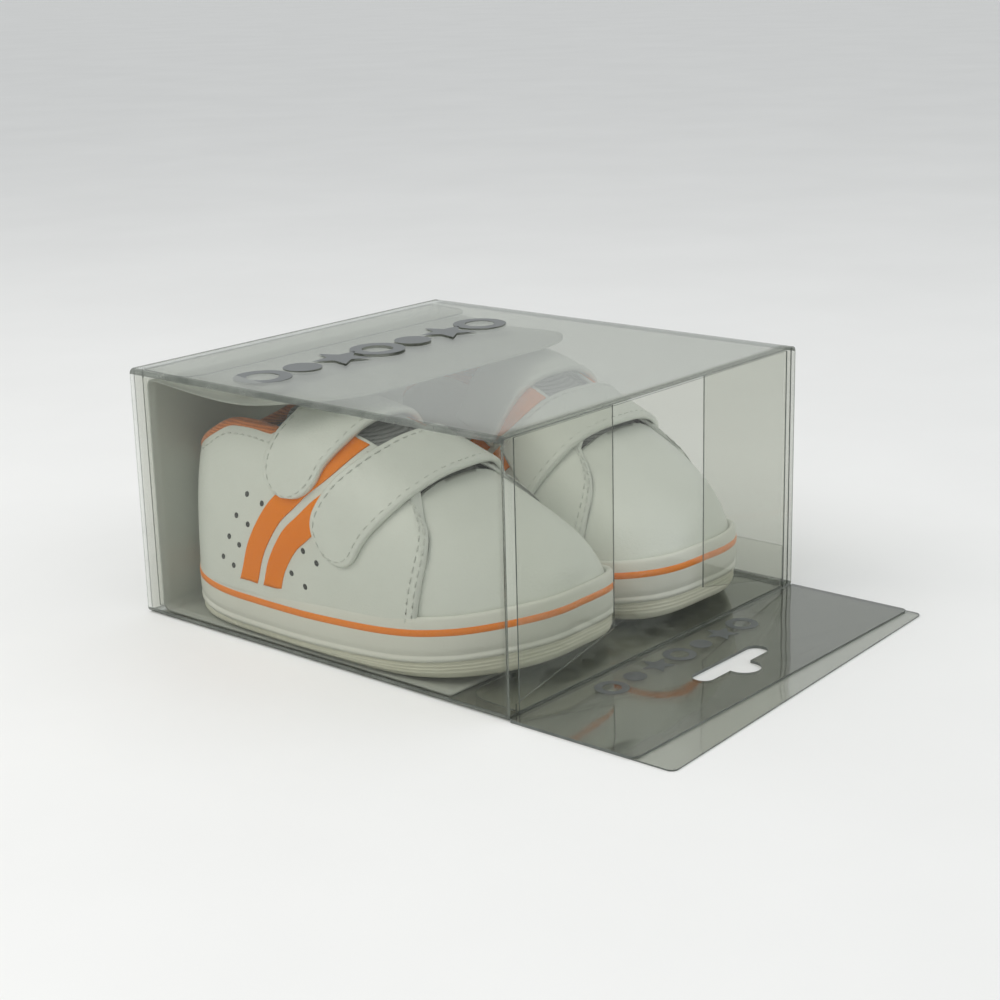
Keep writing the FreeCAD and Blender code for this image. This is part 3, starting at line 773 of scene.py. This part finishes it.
def make_lining():
    """The textile lining behind the quarters, and the padded collar roll round the ankle."""
    parts = Parts()
    for side in (0, 1):
        sign = SIGN[side]
        lines = []
        for b in THROAT_B + 6 + (HEEL_END - THROAT_B - 6.2) * np.sin(np.linspace(0, 1, 60) * math.pi / 2):
            top = quarter_top(b, side)[0]
            foot = UPPER.edge(b, side) + sign * 4.0
            lines.append(np.column_stack([np.full(30, b), np.linspace(foot, top - sign * 0.3, 30)]))
        parts.add(*patch(lines, -1.9, -0.25, 0.4), 1)
    reach = np.linspace(0, 1, 70)
    b = 82.0 + (HEEL_END - 82.0) * np.sin(reach * math.pi / 2)
    ways = []
    for side in (0, 1):
        ways.append(UPPER.at(b, quarter_top(b, side), -0.55))
    path = np.vstack([ways[0], ways[1][::-1][1:]])
    path = smooth_points(resample(path, 150), 8)
    path[:, 2] += 0.3
    ends = np.clip(np.minimum(np.arange(150), np.arange(150)[::-1]) / 8.0, 0.15, 1.0)
    parts.add(*tube(path, 2.0 * ends, 14))
    for piece in shoe_piece("collar_lining", parts, [LINING, TEXTILE], "collar_lining"):
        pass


def make_tongue():
    """Padded textile tongue under the straps, wider and freer at its top."""
    lines = []
    places = np.linspace(THROAT_B - 4, 90.0, 56)
    for b in places:
        half = 14.0 + 3.0 * np.clip((b - 50) / 40, 0, 1)
        cap = math.sqrt(max(0.02, 1 - max(0.0, (b - 80.0) / 10.2) ** 2))
        lines.append(np.column_stack([np.full(29, b), np.linspace(-half * cap, half * cap, 29)]))
    depth = -3.6 + 1.2 * np.clip((places - 70) / 20, 0, 1)
    for piece in shoe_piece("tongue", single(*patch(lines, depth, depth + 2.4, 1.0)), [TEXTILE], "tongue"):
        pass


# A strap: (w, b) along its middle from the free outer end to the sewn inner end, and its half width.
STRAPS = {
    "front_strap": {
        "path": [
            (-45.5, 59.5), (-32.0, 54.5), (-20.0, 48.6), (-10.0, 45.6),
            (0.0, 44.7), (20.0, 49.5), (36.0, 56.5),
        ],
        "half": 8.8,
    },
    "rear_strap": {
        "path": [(-34.5, 76.8), (-22.0, 75.6), (-12.0, 72.5), (0.0, 72.2), (16.0, 75.0), (31.0, 79.0)],
        "half": 10.2,
    },
}
STRAP_THICK = 1.7
STRAP_LOW = 1.15
STITCH_INSET = 1.7


def strap_axis(spec, count):
    """The strap's middle line in (b, w), from its free outer end to its sewn inner end."""
    turns, places = zip(*spec["path"])
    w = np.linspace(turns[0], turns[-1], count)
    return smooth_points(np.column_stack([smooth_line(turns, places)(w), w]), 10)


def strap_frame(spec, count):
    """The strap's middle line, the directions across it, and its half width round its free end."""
    axis = strap_axis(spec, count)
    full = spec["half"]
    back = full - run_lengths(axis)
    half = np.where(back > 0, np.sqrt(np.clip(full ** 2 - back ** 2, 0.02, None)), full)
    return axis, crosswise(axis), half


def strap_lift(w):
    """The strap stands a little proud over the instep."""
    return 1.5 * np.exp(-((w - 2) / 17.0) ** 2)


def make_strap(name):
    axis, across, half = strap_frame(STRAPS[name], 110)
    spread = np.linspace(-1, 1, 17)
    lines = [middle + turn * (spread * reach)[:, None] for middle, turn, reach in zip(axis, across, half)]
    low = STRAP_LOW + strap_lift(axis[:, 1])
    shoe_piece(name, single(*patch(lines, low, low + STRAP_THICK, 0.7)), [LEATHER], name)


def strap_stitches(parts, name):
    """A row of stitches just inside the strap's edge, round its free end."""
    axis, across, half = strap_frame(STRAPS[name], 160)
    reach = half - STITCH_INSET
    keep = reach > 1.0
    aside = (across * reach[:, None])[keep]
    loop = np.vstack([(axis[keep] - aside)[::-1], axis[keep] + aside])
    lift = np.interp(loop[:, 1], axis[:, 1], strap_lift(axis[:, 1]))
    stitches(parts, loop, STRAP_LOW + STRAP_THICK + lift, 0.2)


def make_patches():
    """The hook halves of the fastening, sewn to the quarter under each strap's free end."""
    parts = Parts()
    for spec in STRAPS.values():
        axis, across, half = strap_frame(spec, 110)
        under = slice(8, 44)
        spread = np.linspace(-1, 1, 9)
        lines = [
            middle + turn * (spread * (reach - 2.0))[:, None]
            for middle, turn, reach in zip(axis[under], across[under], half[under])
        ]
        parts.add(*patch(lines, 0.9, STRAP_LOW - 0.02, 0.2))
    shoe_piece("hook_patches", parts, [HOOK], None)


STRIPE_FOOT = 91.5
STRIPE_STEP = 9.4
STRIPE_HALF = 3.5
STRIPE_CLEAR = 1.0


def stripe_middle(side, count=60):
    """(b, w) of the rear stripe's middle: near upright at the foxing, then bending forward to the eyestay."""
    heights = [float(RIM(STRIPE_FOOT)) + 0.2, 20.0, 27.0, 35.0, 41.0, 43.8, 49.0, 53.0, 57.0, 61.0]
    shift = [0.0, 1.2, 3.4, 7.7, 12.2, 15.3, 20.3, 25.2, 28.4, 30.6]
    z = np.linspace(heights[0], heights[-1], count)
    b = STRIPE_FOOT - smooth_line(heights, shift)(z)
    w = UPPER.w_at(b, np.minimum(z, crown_height(station(b)) - 1.0), side)
    return smooth_points(np.column_stack([b, w]), 4)


def stripe_edge(path, side, count=60):
    """What shows of one (b, w) path of a stripe, between the foxing and the eyestay, in even steps."""
    start = path[0] - unit(path[1] - path[0]) * STRIPE_STEP
    fine = resample(np.vstack([start, path]), 150)
    foot = np.abs(UPPER.w_at(fine[:, 0], RIM(fine[:, 0]) + STRIPE_CLEAR, side))
    turn = np.abs(fine[:, 1])
    return resample(fine[(turn < foot) & (turn > EYESTAY + 1.2)], count)


def make_stripes():
    for side, name in ((0, "lateral"), (1, "medial")):
        parts = Parts()
        rear = stripe_middle(side)
        across = crosswise(rear) * SIGN[side]
        for step in (0.0, STRIPE_STEP):
            spread = np.linspace(-1, 1, 9) * STRIPE_HALF - step
            edges = [stripe_edge(rear + across * shift, side) for shift in spread]
            parts.add(*patch(np.stack(edges, axis=1), 1.05, 1.45, 0.3))
        shoe_piece(f"{name}_stripes", parts, [ORANGE], f"{name}_stripes")


# Vent holes on each side of the stripes: (b, z) of each.
HOLES = [
    (92.0, 43.0), (96.1, 36.3), (99.3, 29.6), (102.3, 23.0), (85.6, 41.4), (91.1, 34.6),
    (94.9, 27.9), (97.7, 21.3), (68.2, 31.1), (62.9, 28.6), (72.9, 23.9), (67.6, 21.0),
]
HOLE_RADIUS = 0.85


def make_holes():
    """Punched vents: cups painted near black as the shade inside each hole, with a pressed rim, on both sides
    of each shoe.
    """
    parts = Parts()
    turn = np.linspace(0, 2 * math.pi, 14, endpoint=False)
    for side in (0, 1):
        for b0, z0 in HOLES:
            w0 = UPPER.w_at(b0, z0, side)[0]
            rings = []
            for radius, off in ((HOLE_RADIUS, 1.02), (HOLE_RADIUS, 1.14), (HOLE_RADIUS * 0.8, 1.16)):
                rings.append(UPPER.at(b0 + radius * np.cos(turn), w0 + radius * np.sin(turn), off))
            parts.add(np.vstack(rings), loft_faces(3, 14))
    shoe_piece("vent_holes", parts, [HOLE_PAINTED_SHADE], None)


def make_heel_strip():
    """The back stay that covers the quarters' seam at the heel."""
    rows = []
    for z in np.linspace(FEATHER, float(TOPLINE(HEEL_END)) - 0.5, 30):
        b = HEEL_END - np.concatenate([np.linspace(0.42, 0, 8), np.linspace(0, 0.42, 8)[1:]]) ** 2
        w = np.concatenate([UPPER.w_at(b[:8], z, 0), UPPER.w_at(b[8:], z, 1)])
        rows.append(UPPER.at(b, w, 1.2))
    rows = np.array(rows)
    back = rows.copy()
    back[:, :, 1] -= 0.7
    rings = [np.vstack([rows[i], back[i][::-1]]) for i in range(len(rows))]
    shoe_piece("heel_strip", single(np.vstack(rings), loft_faces(len(rings), rings[0].shape[0])), [LEATHER],
               "heel_strip")


def make_stitching():
    parts = Parts()
    for side in (0, 1):
        sign = SIGN[side]
        front = seam_line(side, 90)
        for back in (1.3, 3.0):
            line = front + np.array([back, 0.0])
            stitches(parts, line[3:], 1.12)
        b = np.linspace(48, 121, 160)
        top = quarter_top(b, side)
        stitches(parts, np.column_stack([b, top + sign * 3.4]), 1.12)
    for name in STRAPS:
        strap_stitches(parts, name)
    shoe_piece("stitching", parts, [THREAD], None)


# ---------------------------------------------------------------- carton


def frame_ring(half_x, low_z, high_z, radius, corner_steps=5):
    """A rounded rectangle across the carton, as (x, z) points, and which of them lie on a fold."""
    points, folded = [], []
    centres = [(half_x - radius, high_z - radius, 0), (-half_x + radius, high_z - radius, 90),
               (-half_x + radius, low_z + radius, 180), (half_x - radius, low_z + radius, 270)]
    for index, (cx, cz, start) in enumerate(centres):
        for k in range(corner_steps + 1):
            angle = math.radians(start + 90 * k / corner_steps)
            points.append((cx + radius * math.cos(angle), cz + radius * math.sin(angle)))
            folded.append(k < corner_steps)
        after = centres[(index + 1) % 4]
        begin = points[-1]
        angle = math.radians(after[2])
        finish = (after[0] + radius * math.cos(angle), after[1] + radius * math.sin(angle))
        for k in range(1, 16):
            t = k / 16
            points.append((begin[0] + (finish[0] - begin[0]) * t, begin[1] + (finish[1] - begin[1]) * t))
            folded.append(False)
    return np.array(points), folded


def make_sleeve():
    """The carton's four long panels as the one creased sheet they are, bowed in a hair between the folds."""
    low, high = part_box("back_panel")
    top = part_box("front_panel")[1].z
    film = high.z - low.z
    half_x = high.x
    rows = 30
    side_bow, roof_sag = 0.0006, 0.0007
    outer, folded = frame_ring(half_x, low.z, top, 0.0016)
    inner, _ = frame_ring(half_x - film, low.z + film, top - film, 0.0012)
    per = len(outer)
    mid_z = (low.z + top) / 2
    verts = []
    near = 0.01
    for k in range(rows + 1):
        share = k / rows
        y = low.y + (high.y - low.y) * share
        sag = math.sin(math.pi * share) ** 0.8
        for ring in (outer, inner):
            for x, z in ring:
                bowed_in = sunk = 0.0
                if abs(abs(x) - half_x) < near:
                    bowed_in = side_bow * math.cos(math.pi / 2 * min(1.0, abs(z - mid_z) / (mid_z - low.z)))
                if abs(z - top) < near:
                    sunk = roof_sag * math.cos(math.pi / 2 * min(1.0, abs(x) / half_x))
                verts.append((x - math.copysign(sag * bowed_in, x), y, z - sag * sunk))
    faces, slots = [], []
    for k in range(rows):
        base, after = k * 2 * per, (k + 1) * 2 * per
        for j in range(per):
            side = (j + 1) % per
            faces.append((base + j, base + side, after + side, after + j))
            faces.append((base + per + j, after + per + j, after + per + side, base + per + side))
            edge_z = outer[j][1], outer[side][1]
            # Faces of the floor run take slot 2, the film with painted shade.
            panel = 2 if max(edge_z) < low.z + film else 3 if min(edge_z) > top - film else 0
            slots += [1 if folded[j] else panel] * 2
    for base, flip in ((0, False), (rows * 2 * per, True)):
        for j in range(per):
            side = (j + 1) % per
            quad = (base + j, base + per + j, base + per + side, base + side)
            faces.append(quad[::-1] if flip else quad)
            slots.append(1)
    films = [SLEEVE_FILM, FOLD, FLOOR_FILM_PAINTED_SHADE, ROOF_FILM]
    sleeve = add_object("carton_sleeve", verts, faces, films, True, slots)
    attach(sleeve, "carton")
    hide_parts("back_panel", "front_panel", "side_panel_right", "side_panel_left")


def finish_flaps():
    """The die-cut flaps keep their CAD shape and take film that shows its cut edges."""
    kinds = {"y": ("top_closure", "bottom_closure", "top_dust_flap_right", "top_dust_flap_left",
                   "bottom_dust_flap_right", "bottom_dust_flap_left"),
             "x": ("glue_flap",), "z": ("top_tuck_flap", "bottom_tuck_flap")}
    for axis, names in kinds.items():
        for name in names:
            NODES[name].data.materials.clear()
            NODES[name].data.materials.append(FILM[axis])
    for name, film in HEADER_FILM.items():
        NODES[name].data.materials.clear()
        NODES[name].data.materials.append(film)


def card_profile():
    """The insert card's middle line in (y, z): floor, heel wall, then the tongue over the shoes."""
    low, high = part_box("insert_card")
    thick = 0.0006
    bend = 0.0024
    back = high.y - thick / 2
    floor, roof = low.z + thick / 2, high.z - thick / 2
    points = [(y, floor) for y in np.linspace(low.y, back - bend, 60)]
    turn = np.linspace(0.15, math.pi / 2, 8)
    points += [(back - bend + bend * math.sin(t), floor + bend - bend * math.cos(t)) for t in turn]
    points += [(back, z) for z in np.linspace(floor + bend, roof - bend, 30)[1:]]
    points += [(back - bend + bend * math.cos(t), roof - bend + bend * math.sin(t)) for t in turn]
    reach = tongue_front()
    points += [(y, roof) for y in np.linspace(back - bend, reach, 50)[1:]]
    return np.array(points), thick


def tongue_front():
    """Where the tongue ends: read from the card's top in the CAD."""
    points = np.array([v.co for v in NODES["insert_card"].data.vertices])
    top = points[points[:, 2] > points[:, 2].max() - 0.0005]
    return float(top[:, 1].min())


TONGUE_CORNER = 0.030
TONGUE_DROOP = 0.0022


def make_card():
    points, thick = card_profile()
    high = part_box("insert_card")[1]
    half = high.x
    front = tongue_front()
    corner = TONGUE_CORNER
    columns = np.linspace(-1, 1, 41)
    normal = crosswise(points)
    rings = []
    roof = points[-1, 1]
    for i, (y, z) in enumerate(points):
        width = half
        on_tongue = z > roof - 0.0002
        if on_tongue and y < front + corner:
            away = (front + corner - y) / corner
            width = half - corner + corner * math.sqrt(max(0.0, 1 - away * away))
        ring = []
        for side in (1, -1):
            for x in columns[::side] * width:
                droop = 0.0
                if on_tongue:
                    run = max(0.0, (points[-1, 0] - y) / (points[-1, 0] - high.y))
                    curl = math.sin(math.pi * min(1.0, 1 - run)) ** 1.5
                    droop = TONGUE_DROOP * (abs(x) / half) ** 4 * curl
                out = normal[i] * side * thick / 2
                ring.append((x, y + out[0], z - droop + out[1]))
        rings.append(ring)
    per = len(rings[0])
    card = add_object("insert_card_sheet", np.vstack(rings), loft_faces(len(rings), per), [CARD])
    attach(card, "carton")
    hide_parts("insert_card")


def motif(kind, size, count=28):
    """A printed mark as rings of (x, y) loops: a dot, a ring or a five-pointed star."""
    turn = np.linspace(0, 2 * math.pi, count, endpoint=False)
    circle = np.column_stack([np.cos(turn), np.sin(turn)])
    if kind == "dot":
        return [circle * size * 0.34]
    if kind == "ring":
        return [circle * size * 0.5, circle * size * 0.28]
    points = []
    for k in range(10):
        reach = 0.55 if k % 2 == 0 else 0.25
        angle = math.pi / 2 + math.pi * k / 5
        points.append((reach * math.cos(angle), reach * math.sin(angle)))
    return [np.array(points) * size]


def print_row(name, body, centre, span, size, kinds, thick=0.00006):
    """A row of printed marks in the XY plane at centre, riding on a body."""
    parts = Parts()
    for k, kind in enumerate(kinds):
        x = centre[0] + span * (k / (len(kinds) - 1) - 0.5)
        loops = motif(kind, size)
        if len(loops) == 1:
            loop = loops[0] + np.array([x, centre[1]])
            low = np.column_stack([loop, np.full(len(loop), centre[2])])
            parts.add(np.vstack([low, low + [0, 0, thick]]), loft_faces(2, len(loop)))
            continue
        rings = []
        for outline, lift in ((loops[0], 0), (loops[0], thick), (loops[1], thick), (loops[1], 0)):
            z = np.full(len(outline), centre[2] + lift)
            rings.append(np.column_stack([outline + np.array([x, centre[1]]), z]))
        parts.add(np.vstack(rings), loft_faces(4, len(loops[0]), closed=True))
    obj = parts.make(name, [INK], smooth=False)
    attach(obj, body)


def make_prints():
    """Generic grey marks where a carton like this carries its printing."""
    low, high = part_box("front_panel")
    kinds = ("ring", "dot", "star", "ring", "dot", "star", "ring")
    print_row("front_print", "carton", (-0.005, low.y + 0.1020, high.z - 0.0002), 0.094, 0.017, kinds)
    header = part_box("header_front_layer")
    print_row("header_print", "header", (-0.003, header[1].y - 0.0075, header[1].z), 0.062, 0.0095, kinds)


# ---------------------------------------------------------------- stage


def make_floor():
    bpy.ops.mesh.primitive_plane_add(size=60, location=(0, 0, -0.0001))
    floor = bpy.context.object
    floor.name = "floor"
    floor.data.materials.append(floor_material())


def area_light(name, position, aim, size, watts, colour=(1, 1, 1)):
    data = bpy.data.lights.new(name, "AREA")
    data.shape = "RECTANGLE"
    data.size, data.size_y = size
    data.energy = watts
    data.color = colour
    lamp = bpy.data.objects.new(name, data)
    lamp.location = position
    lamp.rotation_euler = (Vector(aim) - Vector(position)).to_track_quat("-Z", "Y").to_euler()
    bpy.context.scene.collection.objects.link(lamp)


def make_light():
    world = bpy.data.worlds.new("studio")
    world.use_nodes = True
    background = world.node_tree.nodes["Background"]
    background.inputs["Color"].default_value = (0.93, 0.95, 0.96, 1)
    background.inputs["Strength"].default_value = 0.75
    bpy.context.scene.world = world
    area_light("key", (-0.55, 0.25, 0.85), (0, 0, 0.03), (0.7, 0.7), 5.0, (1.0, 0.98, 0.95))
    area_light("fill", (0.5, -0.75, 0.5), (0, 0, 0.03), (0.6, 0.6), 1.6, (0.95, 0.98, 1.0))


CAMERA_AT = (-0.4143, -0.3692, 0.1921)
CAMERA_HEADING = 49.25
CAMERA_PITCH = 16.19
CAMERA_ROLL = -1.44
CAMERA_LENS = 69.34


def make_camera():
    data = bpy.data.cameras.new("camera")
    data.lens = CAMERA_LENS
    data.sensor_width = 36.0
    data.clip_start = 0.01
    data.clip_end = 200
    camera = bpy.data.objects.new("camera", data)
    heading, pitch = math.radians(CAMERA_HEADING), math.radians(CAMERA_PITCH)
    level = math.cos(pitch)
    forward = Vector((math.sin(heading) * level, math.cos(heading) * level, -math.sin(pitch)))
    turn = forward.to_track_quat("-Z", "Y").to_matrix() @ Matrix.Rotation(math.radians(CAMERA_ROLL), 3, "Z")
    camera.matrix_world = Matrix.Translation(CAMERA_AT) @ turn.to_4x4()
    bpy.context.scene.collection.objects.link(camera)
    bpy.context.scene.camera = camera


make_camera()
make_sleeve()
finish_flaps()
make_card()
make_prints()
make_outsole()
make_foxing()
make_foxing_line()
make_insole()
make_vamp()
make_quarters()
make_lining()
make_tongue()
for strap_name in STRAPS:
    make_strap(strap_name)
make_patches()
make_stripes()
make_holes()
make_heel_strip()
make_stitching()
make_floor()
make_light()
bpy.context.scene.view_settings.view_transform = "Standard"
bpy.context.scene.cycles.transparent_max_bounces = 40
